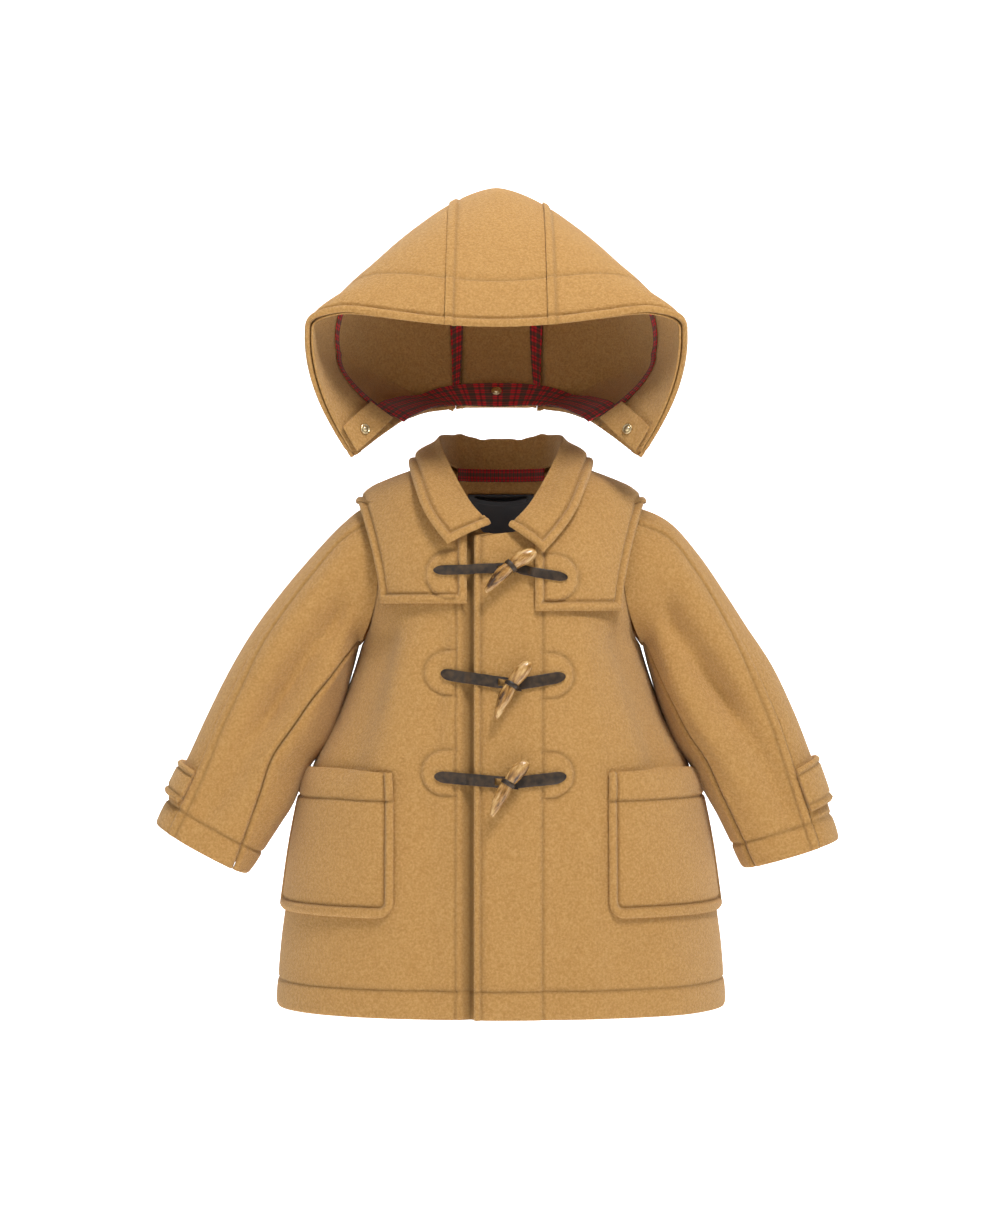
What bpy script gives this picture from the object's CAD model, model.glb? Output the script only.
from bisect import bisect_right
from functools import lru_cache
from math import asin, atan2, cos, exp, hypot, pi, radians, sin, sqrt
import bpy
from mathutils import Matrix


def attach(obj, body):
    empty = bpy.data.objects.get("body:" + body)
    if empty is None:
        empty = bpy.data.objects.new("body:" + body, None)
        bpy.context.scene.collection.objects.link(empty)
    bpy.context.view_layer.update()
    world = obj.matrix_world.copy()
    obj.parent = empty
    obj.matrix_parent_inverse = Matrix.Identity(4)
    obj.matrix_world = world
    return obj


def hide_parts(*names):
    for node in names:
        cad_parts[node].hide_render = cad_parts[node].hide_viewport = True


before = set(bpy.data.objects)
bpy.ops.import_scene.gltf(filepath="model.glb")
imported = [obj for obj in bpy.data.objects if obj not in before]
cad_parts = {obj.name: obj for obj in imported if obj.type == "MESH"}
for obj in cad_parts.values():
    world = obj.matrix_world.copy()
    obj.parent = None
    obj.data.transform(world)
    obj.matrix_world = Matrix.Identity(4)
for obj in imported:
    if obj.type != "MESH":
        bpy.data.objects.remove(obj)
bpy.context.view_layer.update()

from types import SimpleNamespace

import bpy
from mathutils import Matrix, Vector
from mathutils.kdtree import KDTree

# Camera, light and floor
# A level camera 2.5 m in front of the coat, at the height of the chest, and large soft lamps as in a
# catalogue studio. The floor is a pale sweep that turns up into the wall well behind the coat.
VIEW_HEIGHT = 1.0362  # metres of the coat's own plane, from the top of the picture to its bottom
CAMERA_AWAY = 2.5
CAMERA_Z = -0.114
SENSOR = 24.0

bpy.ops.object.camera_add(location=(-0.00085, -CAMERA_AWAY, CAMERA_Z), rotation=(radians(90), 0, 0))
camera = bpy.context.object
camera.data.sensor_fit = "VERTICAL"
camera.data.sensor_height = SENSOR
camera.data.lens = SENSOR * CAMERA_AWAY / VIEW_HEIGHT
camera.data.clip_end = 30
bpy.context.scene.camera = camera


def linear(hex_colour, alpha=1.0):
    """An sRGB hex colour as the linear colour that a shader takes."""
    channels = [int(hex_colour[i : i + 2], 16) / 255 for i in (1, 3, 5)]
    return (*[c / 12.92 if c <= 0.04045 else ((c + 0.055) / 1.055) ** 2.4 for c in channels], alpha)


def soft_lamp(name, place, aim, size, watts):
    bpy.ops.object.light_add(type="AREA", location=place)
    lamp = bpy.context.object
    lamp.name = name
    lamp.data.shape = "RECTANGLE"
    lamp.data.size, lamp.data.size_y = size
    lamp.data.energy = watts
    lamp.rotation_euler = (Vector(aim) - Vector(place)).to_track_quat("-Z", "Y").to_euler()


COAT_MIDDLE = (0, 0, -0.1)
soft_lamp("key", (0.7, -1.35, 2.05), COAT_MIDDLE, (0.7, 0.7), 58)
soft_lamp("fill", (-1.3, -2.3, 0.5), COAT_MIDDLE, (1.6, 1.6), 8)
soft_lamp("top", (-0.2, -0.4, 1.9), COAT_MIDDLE, (1.2, 0.9), 14)
soft_lamp("back", (0, 2.4, 1.2), COAT_MIDDLE, (2.4, 1.6), 10)

world = bpy.data.worlds.new("studio") if not bpy.context.scene.world else bpy.context.scene.world
bpy.context.scene.world = world
world.use_nodes = True
world.node_tree.nodes["Background"].inputs["Color"].default_value = linear("#FBFBFD")
world.node_tree.nodes["Background"].inputs["Strength"].default_value = 0.2
bpy.context.scene.view_settings.view_transform = "Standard"

paper = bpy.data.materials.new("white studio paper, matte")
paper.use_nodes = True
paper_finish = paper.node_tree.nodes["Principled BSDF"]
paper_finish.inputs["Base Color"].default_value = linear("#FFFFFF")
paper_finish.inputs["Roughness"].default_value = 0.95
paper_finish.inputs["Emission Color"].default_value = linear("#FFFFFF")
paper_finish.inputs["Emission Strength"].default_value = 0.85

FLOOR_Z = -1.3
bpy.ops.object.select_all(action="DESELECT")
bpy.ops.mesh.primitive_plane_add(size=14, location=(0, 0, FLOOR_Z))
floor = bpy.context.object
floor.name = "studio_floor"
floor.data.materials.append(paper)
bpy.ops.object.select_all(action="DESELECT")
bpy.ops.mesh.primitive_plane_add(size=14, location=(0, 3.5, FLOOR_Z + 5), rotation=(radians(90), 0, 0))
backdrop = bpy.context.object
backdrop.name = "studio_backdrop"
backdrop.data.materials.append(paper)

# Fronts and back
# The body of the coat is cut in two fronts and a back from a thick fulled wool, left unlined. The edges
# are turned and topstitched, so each edge is a plump roll with a stitched groove beside it.
MM = 0.001
WOOL_THICK = 3.0
GAP = 0.5
SEAM = 0.15


def lerp(a, b, t):
    return a + (b - a) * t


def smooth(x, low, high):
    t = min(max((x - low) / (high - low), 0.0), 1.0)
    return t * t * (3 - 2 * t)


def steps(start, stop, count):
    return [lerp(start, stop, i / count) for i in range(count + 1)]


def lines(*stretches):
    """Grid lines: each stretch is (start, stop, spacing), and a line that is already there isn't doubled."""
    found = []
    for start, stop, spacing in stretches:
        count = max(1, round(abs(stop - start) / spacing))
        found += [x for x in steps(start, stop, count) if not found or abs(x - found[-1]) > spacing * 0.4]
    return found


def curves(names, rows):
    """For each named column after the first, a function that reads it smoothly at any value of the first."""
    rows = sorted(rows)
    keys = [row[0] for row in rows]
    last = len(rows) - 1

    def curve(column):
        values = [row[column] for row in rows]

        def slope(k):
            low, high = max(k - 1, 0), min(k + 1, last)
            return (values[high] - values[low]) / (keys[high] - keys[low])

        @lru_cache(maxsize=None)
        def at(x):
            x = min(max(x, keys[0]), keys[-1])
            i = min(max(bisect_right(keys, x) - 1, 0), last - 1)
            span = keys[i + 1] - keys[i]
            t = (x - keys[i]) / span
            return (
                (2 * t**3 - 3 * t**2 + 1) * values[i]
                + (t**3 - 2 * t**2 + t) * span * slope(i)
                + (3 * t**2 - 2 * t**3) * values[i + 1]
                + (t**3 - t**2) * span * slope(i + 1)
            )

        return at

    return SimpleNamespace(**{name: curve(i + 1) for i, name in enumerate(names.split())})


# Half width, front and back depth of the body at each height, and how square its section is.
body = curves("half_width front back square", [
    (9, 50, 32, 44, 2.0),
    (4, 61, 39, 47, 2.05),
    (-5, 85.5, 49, 52, 2.1),
    (-14, 105, 58, 58, 2.15),
    (-26, 114, 67, 65, 2.2),
    (-45, 117, 78, 73, 2.25),
    (-66, 117, 86, 79, 2.3),
    (-110, 115, 93, 87, 2.35),
    (-138, 117, 97, 91, 2.4),
    (-178, 129, 101, 95, 2.4),
    (-205, 139, 104, 98, 2.4),
    (-247, 160, 108, 102, 2.4),
    (-300, 173, 112, 106, 2.4),
    (-361, 182, 115, 109, 2.4),
    (-400, 187, 117, 111, 2.4),
    (-447, 190, 118, 112, 2.4),
])

# Soft folds: from (x, z) to (x, z) on the front or back, how far they spread, and their height.
BODY_FOLDS = [
    ("front", -100, -140, -132, -246, 15, -11),
    ("front", -80, -150, -92, -238, 13, 4),
    ("front", -48, -125, -56, -220, 9, -3),
    ("front", 104, -140, 134, -236, 14, -11),
    ("front", 66, -130, 78, -230, 12, 3),
    ("front", 46, -270, 44, -430, 14, -3.5),
    ("front", 68, -300, 74, -440, 12, 3),
    ("front", -60, -280, -58, -430, 15, -3.5),
    ("front", 140, -380, 148, -446, 18, 3),
    ("back", -100, -140, -122, -300, 15, -6),
    ("back", 98, -145, 118, -310, 15, -6),
    ("back", -40, -200, -52, -446, 20, -4),
    ("back", 44, -230, 58, -446, 20, -4),
    ("back", 2, -180, 4, -440, 26, 3),
]


def fold_height(side, x, z):
    height = 0
    for face, x1, z1, x2, z2, spread, depth in BODY_FOLDS:
        if face == side:
            along = ((x - x1) * (x2 - x1) + (z - z1) * (z2 - z1)) / ((x2 - x1) ** 2 + (z2 - z1) ** 2)
            along = min(max(along, 0), 1)
            away = hypot(x - lerp(x1, x2, along), z - lerp(z1, z2, along))
            height += depth * exp(-((away / spread) ** 2))
    return height


def body_point(angle, z, grow_x=0, grow_y=0):
    """A point of the body's outer face, at an angle from the front middle towards +X."""
    side = "front" if cos(angle) >= 0 else "back"
    half_width = body.half_width(z) + grow_x
    depth = getattr(body, side)(z) + grow_y
    square = body.square(z)
    across = (abs(sin(angle)) / half_width) ** square
    along = (abs(cos(angle)) / depth) ** square
    radius = (across + along) ** (-1 / square)
    radius += fold_height(side, radius * sin(angle), z) * abs(cos(angle)) ** 0.5
    return Vector((radius * sin(angle), -radius * cos(angle), z))


def angle_of(x, z, side="front", grow_x=0, grow_y=0):
    """The angle at which the body has this x, on its front or back."""
    square = body.square(z)
    share = min(max(1 - (abs(x) / (body.half_width(z) + grow_x)) ** square, 0), 1)
    y = (getattr(body, side)(z) + grow_y) * share ** (1 / square)
    return atan2(x, y if side == "front" else -y)


def normal_at(surface, u, v, du, dv, inside):
    """The outward unit normal of a surface of two numbers."""
    along_u = surface(u + du, v) - surface(u - du, v)
    along_v = surface(u, v + dv) - surface(u, v - dv)
    normal = along_u.cross(along_v).normalized()
    return -normal if normal.dot(surface(u, v) - inside) < 0 else normal


def on_body(angle, z, lift=0):
    normal = normal_at(body_point, angle, z, 0.01, 0.5, Vector((0, 0, z - 40)))
    return body_point(angle, z) + normal * lift, normal


NECK = SimpleNamespace(half_width=50, centre_z=9, front_drop=62, back_drop=7)
ARMHOLE = SimpleNamespace(centre_z=-86, half_height=57, half_depth=49)
HEM_Z = -447
OVERLAP = 22


def neck_half_width(z, drop):
    share = (NECK.centre_z - z) / drop
    return NECK.half_width * sqrt(min(max(1 - share * share, 0), 1))


def side_angle(z, side):
    """Where a panel ends: its side or shoulder seam, or the armhole's edge."""
    half_width = body.half_width(z)
    share = (z - ARMHOLE.centre_z) / ARMHOLE.half_height
    half = ARMHOLE.half_depth * sqrt(min(max(1 - share * share, 0), 1))
    square = body.square(z)
    x = half_width * max(1 - (half / getattr(body, side)(z)) ** square, 0) ** (1 / square)
    turn = atan2(x, half) if half > 0 else pi / 2
    angle = min(turn, pi / 2 - SEAM / half_width)
    return angle if side == "front" else pi - angle


def overlap_lift(x):
    return (WOOL_THICK + GAP) * (1 - smooth(x, 30, 72))


def topstitch(away, at=8.0, plump=1.7, deep=1.6):
    """Height and stitch mark at a distance from a turned edge, with a row of stitches some mm in from it."""
    if away < -0.01:
        return 0, 0
    roll = plump * sin(pi * away / at) if away < at else 0
    mark = exp(-(((away - at) / 1.4) ** 2))
    return roll - 0.9 * exp(-((away / 1.3) ** 2)) - deep * mark, mark


def stitch_row(away, deep=1.4, width=1.4):
    mark = exp(-((away / width) ** 2))
    return -deep * mark, mark


def patch_stitch(x, z, centre_z, inner, reach, radius):
    """The half-round row of stitches that holds a leather tab's backing, as height and stitch mark."""
    along = x - inner
    if along < -2 or along > reach - inner + 6 or abs(z - centre_z) > radius + 6:
        return 0, 0
    straight = reach - inner - radius
    away = hypot(max(along - straight, 0), z - centre_z) - radius
    mark = exp(-((away / 1.3) ** 2)) * smooth(along, -2, 0)
    raised = 0.8 * smooth(-away, 0.5, 4) * smooth(along, 0, 4)
    return raised - 1.3 * mark, mark


def together(*reliefs):
    return sum(height for height, _ in reliefs), max(mark for _, mark in reliefs)


def laid(name, patches, thickness, inside=None, bevel=0.8):
    """A sheet made of grids. Each grid has its lines in u and v and a function that gives a vertex its place
    in mm, its extra height and its stitch mark. The thickness lies on the side away from the outer face."""
    parts = []
    for us, vs, place in patches:
        bpy.ops.object.select_all(action="DESELECT")
        bpy.ops.mesh.primitive_grid_add(x_subdivisions=len(us) - 1, y_subdivisions=len(vs) - 1, size=1)
        part = bpy.context.object
        mesh = part.data
        rise = mesh.attributes.new("rise", "FLOAT", "POINT")
        stitch = mesh.attributes.new("stitch", "FLOAT", "POINT")
        lengths = []
        for vertex in mesh.vertices:
            u = us[round((vertex.co.x + 0.5) * (len(us) - 1))]
            v = vs[round((vertex.co.y + 0.5) * (len(vs) - 1))]
            point, height, mark = place(u, v)
            vertex.co = Vector(point) * MM
            rise.data[vertex.index].value = height * MM
            stitch.data[vertex.index].value = mark
            lengths.append((u * MM, v * MM))
        for loop in mesh.loops:
            mesh.uv_layers[0].data[loop.index].uv = lengths[loop.vertex_index]
        parts.append(part)
    for part in parts:
        part.select_set(True)
    bpy.context.view_layer.objects.active = parts[0]
    if len(parts) > 1:
        bpy.ops.object.join()
    sheet = bpy.context.object
    sheet.name = sheet.data.name = name
    bpy.ops.object.mode_set(mode="EDIT")
    bpy.ops.mesh.select_all(action="SELECT")
    bpy.ops.mesh.remove_doubles(threshold=0.00003)
    bpy.ops.mesh.normals_make_consistent(inside=False)
    bpy.ops.object.mode_set(mode="OBJECT")
    mesh = sheet.data
    if inside is not None:
        middle = Vector(inside) * MM
        if sum(face.normal.dot(face.center - middle) * face.area for face in mesh.polygons) < 0:
            mesh.flip_normals()
    mesh.update()
    normals = [n.vector.copy() for n in mesh.vertex_normals]
    rise = mesh.attributes["rise"]
    for vertex in mesh.vertices:
        vertex.co += normals[vertex.index] * rise.data[vertex.index].value
    mesh.attributes.remove(mesh.attributes["rise"])
    wall = sheet.modifiers.new("thickness", "SOLIDIFY")
    wall.thickness = thickness * MM
    wall.offset = -1
    bpy.ops.object.modifier_apply(modifier=wall.name)
    edge = sheet.modifiers.new("edge", "BEVEL")
    edge.width = bevel * MM
    edge.segments = 2
    edge.limit_method = "ANGLE"
    edge.angle_limit = radians(72)
    bpy.ops.object.modifier_apply(modifier=edge.name)
    bpy.ops.object.shade_smooth()
    return sheet


def mount(piece, node, material):
    """The piece stands for a solid of the part, moves with it and has its finish."""
    piece.data.materials.clear()
    piece.data.materials.append(material)
    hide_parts(node)
    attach(piece, "root")


def put(material, kind, inputs=None, **settings):
    """Adds a node with its settings, and with its inputs set to values or linked to outputs."""
    node = material.node_tree.nodes.new(kind)
    for name, value in settings.items():
        setattr(node, name, value)
    for name, value in (inputs or {}).items():
        if isinstance(value, bpy.types.NodeSocket):
            material.node_tree.links.new(value, node.inputs[name])
        else:
            node.inputs[name].default_value = value
    return node


# Wool double cloth, fulled and brushed: a dense felted face with a short nap in small curls, so its colour is
# mottled at 2 to 4 mm and its edges catch a soft light. Stitching presses the nap down and looks darker.
wool = bpy.data.materials.new("camel wool double cloth, fulled and brushed")
wool.use_nodes = True
finish = wool.node_tree.nodes["Principled BSDF"]
place = put(wool, "ShaderNodeTexCoord")
spot = place.outputs["Object"]
curls = put(wool, "ShaderNodeTexNoise", {"Vector": spot, "Scale": 520, "Detail": 3, "Roughness": 0.6})
nap = put(wool, "ShaderNodeTexNoise", {"Vector": spot, "Scale": 1500, "Detail": 2, "Roughness": 0.6})
tone = put(wool, "ShaderNodeMapRange", {0: curls.outputs["Fac"], 1: 0.34, 2: 0.66})
ramp = put(wool, "ShaderNodeValToRGB", {"Fac": tone.outputs[0]})
ramp.color_ramp.elements[0].color = linear("#AD8047")
ramp.color_ramp.elements[1].color = linear("#C4985D")
middle_tone = ramp.color_ramp.elements.new(0.5)
middle_tone.color = linear("#B98C51")
stitch_mark = put(wool, "ShaderNodeAttribute", attribute_name="stitch")
worn_in = put(wool, "ShaderNodeMath", {0: stitch_mark.outputs["Fac"], 1: 0.38}, operation="MULTIPLY")
colour = put(wool, "ShaderNodeMix", data_type="RGBA")
wool.node_tree.links.new(worn_in.outputs[0], colour.inputs[0])
wool.node_tree.links.new(ramp.outputs["Color"], colour.inputs[6])
colour.inputs[7].default_value = linear("#7A5A30")
wool.node_tree.links.new(colour.outputs[2], finish.inputs["Base Color"])
heights = put(wool, "ShaderNodeMath", {0: curls.outputs["Fac"], 1: nap.outputs["Fac"]}, operation="ADD")
bump = put(wool, "ShaderNodeBump", {"Height": heights.outputs[0], "Strength": 0.85, "Distance": 0.0012})
wool.node_tree.links.new(bump.outputs["Normal"], finish.inputs["Normal"])
finish.inputs["Roughness"].default_value = 0.95
finish.inputs["Specular IOR Level"].default_value = 0.2
finish.inputs["Sheen Weight"].default_value = 0.28
finish.inputs["Sheen Roughness"].default_value = 0.45
finish.inputs["Sheen Tint"].default_value = linear("#F8EAD2")

HEM_STITCH = 23
FACING_STITCH = {-1: 37.4, 1: 34.2}
TAB_PATCHES = {-1: [(-165.7, 64, 18.7), (-247, 66, 18.9)], 1: [(-168, 60, 18.7), (-249, 60.5, 18.9)]}
FRONT_LAST_X = 74
NECK_FRONT_Z = NECK.centre_z - NECK.front_drop
NECK_BACK_Z = NECK.centre_z - NECK.back_drop

hem_rows = [
    HEM_Z + up for up in lines((0, 4.5, 1.5), (8, 19, 4), (21, 25, 1), (29, -272 - HEM_Z, 6))
]
top_rows = lines((-138, -58, 5), (-56, -47, 1.5), (-43, -6, 4.5), (-3, 9, 2))
front_rows = [*hem_rows, *lines((-270, -226, 1.3), (-220, -190, 6), (-188, -144, 1.3)), *top_rows]
front_columns = [
    *lines((-22, -17.5, 1.5), (-16.5, -14.5, 1), (-11, 30, 5), (32.5, 67, 1.3), (69, FRONT_LAST_X, 2.5)),
    *[FRONT_LAST_X + 100 * t for t in steps(0, 1, 24)[1:]],
]


def front_place(sign):
    def place(u, z):
        inner = -OVERLAP if z < NECK_FRONT_Z else neck_half_width(z, NECK.front_drop)
        last = angle_of(FRONT_LAST_X, z)
        if u <= FRONT_LAST_X:
            angle = angle_of(max(u, inner), z)
        else:
            angle = lerp(last, max(side_angle(z, "front"), last), (u - FRONT_LAST_X) / 100)
        x = body_point(angle, z).x
        point, _ = on_body(sign * angle, z, overlap_lift(x) if sign > 0 else 0)
        relief = [
            stitch_row(z - HEM_Z - HEM_STITCH),
            topstitch(z - HEM_Z, HEM_STITCH, plump=0.7, deep=0),
            topstitch(u + OVERLAP, 6.0, plump=1.4, deep=1.5),
        ]
        if z < -60:
            relief.append(stitch_row(u - FACING_STITCH[sign]))
        for middle_z, reach, radius in TAB_PATCHES[sign]:
            relief.append(patch_stitch(u, z, middle_z, FACING_STITCH[sign], reach, radius))
        height, mark = together(*relief)
        if sign < 0:
            hollow = exp(-(((u - OVERLAP - 4) / 5) ** 2))
            height, mark = height - 5 * hollow, max(mark, 2.2 * hollow)
        return point, height, mark

    return place


for side, sign in (("right", -1), ("left", 1)):
    patch = (front_columns, front_rows, front_place(sign))
    piece = laid(f"coat_front_{side}", [patch], WOOL_THICK, (0, 0, -200))
    mount(piece, f"front_{side}", wool)

back_rows = [
    *hem_rows, *lines((-264, -140, 6)), *lines((-138, -6, 5.5)), -3, 0, NECK_BACK_Z, 2.4, 3.4, 4.9, 6.8, 9,
]


def back_place(sign):
    def place(u, z):
        inner = pi if z <= NECK_BACK_Z else angle_of(neck_half_width(z, NECK.back_drop), z, "back")
        outer = side_angle(z, "back")
        angle = lerp(max(inner, outer), outer, u)
        point = body_point(sign * angle, z)
        height, mark = together(
            stitch_row(z - HEM_Z - HEM_STITCH), topstitch(z - HEM_Z, HEM_STITCH, plump=0.7, deep=0)
        )
        return point, height, mark

    return place


back_columns = steps(0, 1, 40)
piece = laid(
    "coat_back", [(back_columns, back_rows, back_place(s)) for s in (1, -1)], WOOL_THICK, (0, 0, -200)
)
mount(piece, "back", wool)

# Patch pockets
# Two big patch pockets of the coat cloth, sewn on from beside the front facing round to the side seam. The
# lower inner corner is rounded, the edges are turned and topstitched, and the mouth has a deep hem and
# stands open a little.
POCKET = SimpleNamespace(inner=87, top=-247, bottom=-366, corner=14, loft=2.2, hem=24, across=152)


def pocket_place(sign):
    def place(u, z):
        up = min((z - POCKET.bottom) / POCKET.corner, 1)
        cut = POCKET.corner * (1 - sqrt(1 - (1 - up) ** 2))
        start = angle_of(POCKET.inner + cut, z)
        stop = pi / 2 - 1.2 / body.half_width(z)
        share = u / POCKET.across
        mouth = smooth(z, POCKET.top - 60, POCKET.top) * sin(pi * min(share * 1.05, 1)) ** 0.8
        point, _ = on_body(sign * lerp(start, stop, share), z, WOOL_THICK + GAP + 0.1 + POCKET.loft * mouth)
        from_inner, from_bottom = u + cut, z - POCKET.bottom
        if from_inner < POCKET.corner and from_bottom < POCKET.corner:
            away = POCKET.corner - hypot(POCKET.corner - from_inner, POCKET.corner - from_bottom)
        else:
            away = min(from_inner, from_bottom)
        away = min(away, POCKET.across - u)
        height, mark = together(
            topstitch(away, 9, plump=1.8, deep=1.7),
            topstitch(POCKET.top - z, POCKET.hem, plump=1.4, deep=1.6),
        )
        return point, height + 0.8 * smooth(away, 10, 30), mark

    return place


edge_lines = [0, 0.7, 1.5, 3, 5, 6.6, 7.6, 8.3, 9, 9.7, 10.5, 12, 14]
pocket_columns = [*edge_lines, *lines((18, 134, 4.5)), *[POCKET.across - e for e in reversed(edge_lines)]]
pocket_rows = [
    *[POCKET.bottom + e for e in edge_lines],
    *lines((POCKET.bottom + 18, POCKET.top - 29, 4), (POCKET.top - 26.5, POCKET.top - 21.5, 0.8)),
    *lines((POCKET.top - 18, POCKET.top - 4, 3.5)), POCKET.top - 2.2, POCKET.top - 1, POCKET.top,
]
for side, sign in (("right", -1), ("left", 1)):
    patch = (pocket_columns, pocket_rows, pocket_place(sign))
    piece = laid(f"pocket_{side}_cloth", [patch], WOOL_THICK, (0, 0, -300))
    mount(piece, f"pocket_{side}", wool)

# Storm flap
# A second layer of cloth over both shoulders, open at the front. Its neck edge is caught in the collar seam,
# and it hangs free at its hem. The free edges are turned and topstitched, so it stands stiffly off the
# sleeve heads.
FLAP = SimpleNamespace(
    hem_z={-1: -109, 1: -115}, back_hem_z=-118, inner=28, hem_half_width=101,
    shoulder_half_width=121, shoulder_z=-24, top=11,
)
flap_grow = curves("x y rise", [
    (16, 7, 7, 3.4),
    (-14, 7, 6, 3.4),
    (-24, 9, 5, 3.2),
    (-45, 12, 4.5, 2),
    (-109, 10, 4, 0),
    (-125, 9, 4, 0),
])


def flap_point(angle, z):
    point = body_point(angle, z - flap_grow.rise(z), flap_grow.x(z), flap_grow.y(z))
    point.z = z
    if cos(angle) > 0 and point.x > 0:
        point.y -= overlap_lift(point.x) * smooth(-z, 0, 40)
    return point


def flap_angle(x, z, side):
    return angle_of(x, z - flap_grow.rise(z), side, flap_grow.x(z), flap_grow.y(z))


def flap_outer(z, side, hem_z):
    if z >= FLAP.shoulder_z:
        return pi / 2
    share = min(max((z - hem_z) / (FLAP.shoulder_z - hem_z), 0), 1)
    return abs(flap_angle(lerp(FLAP.hem_half_width, FLAP.shoulder_half_width, share**1.6), z, side))


def flap_front(sign, share, z):
    neck = neck_half_width(z - 1.5, NECK.front_drop) + 6
    inner = FLAP.inner if z < NECK_FRONT_Z + 2 else max(FLAP.inner, neck)
    start = min(flap_angle(inner, z, "front"), pi / 2)
    return flap_point(sign * lerp(start, max(flap_outer(z, "front", FLAP.hem_z[sign]), start), share), z)


def flap_back(sign, share, z):
    neck = neck_half_width(z - 1.5, NECK.back_drop) + 1 if z > NECK_BACK_Z + 1 else 0
    start = flap_angle(neck, z, "back") if neck else pi
    stop = flap_outer(z, "back", FLAP.back_hem_z)
    return flap_point(sign * lerp(max(start, stop), stop, share), z)


def edge_distance(*paths):
    """How far in mm a point is from the nearest of some edges, each given as a list of points."""
    marks = []
    for path in paths:
        for a, b in zip(path, path[1:]):
            count = max(1, round((b - a).length / 0.5))
            marks += [a.lerp(b, i / count) for i in range(count)]
        marks.append(path[-1])
    tree = KDTree(len(marks))
    for i, point in enumerate(marks):
        tree.insert(point, i)
    tree.balance()
    return lambda point: tree.find(point)[2]


flap_edges = []
for sign in (-1, 1):
    climb = steps(FLAP.hem_z[sign], FLAP.shoulder_z, 60)
    flap_edges.append([flap_front(sign, 0, z) for z in climb if z < NECK_FRONT_Z + 6])
    flap_edges.append([flap_front(sign, share, FLAP.hem_z[sign]) for share in steps(0, 1, 40)])
    flap_edges.append([flap_front(sign, 1, z) for z in climb])
    flap_edges.append([flap_back(sign, 1, z) for z in steps(FLAP.back_hem_z, FLAP.shoulder_z, 60)])
    flap_edges.append([flap_back(sign, share, FLAP.back_hem_z) for share in steps(0, 1, 60)])
flap_away = edge_distance(*flap_edges)


def flap_place(half, sign):
    def place(u, z):
        point = half(sign, u / 90, z)
        reliefs = [topstitch(flap_away(point), 8, plump=1.6, deep=1.6)]
        if half is flap_front:
            inner, reach = (37.4, 63) if sign < 0 else (34.2, 64.6)
            centre = -85 if sign < 0 else -88
            if abs(point.x) > inner - 3:
                reliefs.append(patch_stitch(abs(point.x), z, centre, inner, reach, 20 if sign > 0 else 20.5))
        height, mark = together(*reliefs)
        return point, height, mark

    return place


flap_columns = [
    *lines((0, 12, 1.2), (13, 40, 1.35), (43, 76, 3.5), (78, 87, 1.1)), 88, 89, 90,
]
shoulder_rows = lines((-62, -36, 3.2), (-34, -29, 1.6), (-28, -14, 0.9), (-12, FLAP.top, 2.6))
patch_rows = {s: lines((low, low + 12, 0.9), (low + 13, -65, 1.3)) for s, low in FLAP.hem_z.items()}
piece = laid(
    "storm_flap_cloth",
    [
        *[
            (flap_columns, [*patch_rows[sign], *shoulder_rows], flap_place(flap_front, sign))
            for sign in (-1, 1)
        ],
        *[
            (
                [*lines((0, 76, 4.5), (78, 87, 1.1)), 88, 89, 90],
                [
                    *lines((FLAP.back_hem_z, FLAP.back_hem_z + 12, 0.9), (FLAP.back_hem_z + 15, -66, 4)),
                    *shoulder_rows,
                ],
                flap_place(flap_back, sign),
            )
            for sign in (-1, 1)
        ],
    ],
    WOOL_THICK,
    (0, 0, -160),
)
mount(piece, "storm_flap", wool)

# Sleeves
# Two-piece sleeves, cut to bend a little at the elbow. The outer seam runs from shoulder to cuff, lapped
# and stitched twice, so it shows as a raised band. The cuff is a plain turned hem.
sleeve_columns = "outer_x outer_z inner_x inner_z front back y"
SLEEVE_RINGS = {
    -1: curves(sleeve_columns, [
        (1, 134, -41, 121.5, -149, 50, 50, -1),
        (2, 157, -65, 125, -163, 49, 50, -3),
        (3, 184, -97, 131, -181, 48, 49, -7),
        (4, 209, -131, 139, -202, 46, 47, -12),
        (5, 230, -167, 149.5, -225, 44, 45, -17),
        (6, 248, -204, 167.5, -250, 42, 43, -21),
        (7, 262, -235, 178, -281, 40, 41, -24),
        (8, 275, -262, 195.5, -310, 38, 39, -26),
        (9, 290, -293, 213, -336, 37, 38, -27),
    ]),
    1: curves(sleeve_columns, [
        (1, 143, -40, 121.5, -149, 50, 50, -1),
        (2, 168, -68, 125, -163, 49, 50, -3),
        (3, 189, -99, 131.5, -182, 48, 49, -7),
        (4, 208, -129, 139.5, -203, 46, 47, -12),
        (5, 228, -160, 149, -224, 44, 45, -17),
        (6, 245, -196, 164, -246, 42, 43, -21),
        (7, 258, -229, 175.5, -273, 40, 41, -24),
        (8, 271, -266, 190, -303, 38, 39, -26),
        (9, 284, -306, 203, -331, 37, 38, -27),
    ]),
}
CUFF = 9
# Soft folds of a sleeve: from ring to ring, from degrees to degrees round it, spread in degrees and height.
SLEEVE_FOLDS = [
    (1.4, 5.2, 104, 88, 14, -10),
    (4.0, 8.2, 96, 78, 14, -10),
    (2.6, 6.6, 128, 118, 14, 4),
    (1.2, 4.6, 66, 64, 16, 4),
    (1.4, 5.6, 262, 276, 16, -5),
    (3.6, 8.0, 250, 268, 16, -5),
    (2.0, 6.0, 300, 292, 18, 3),
]


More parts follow.
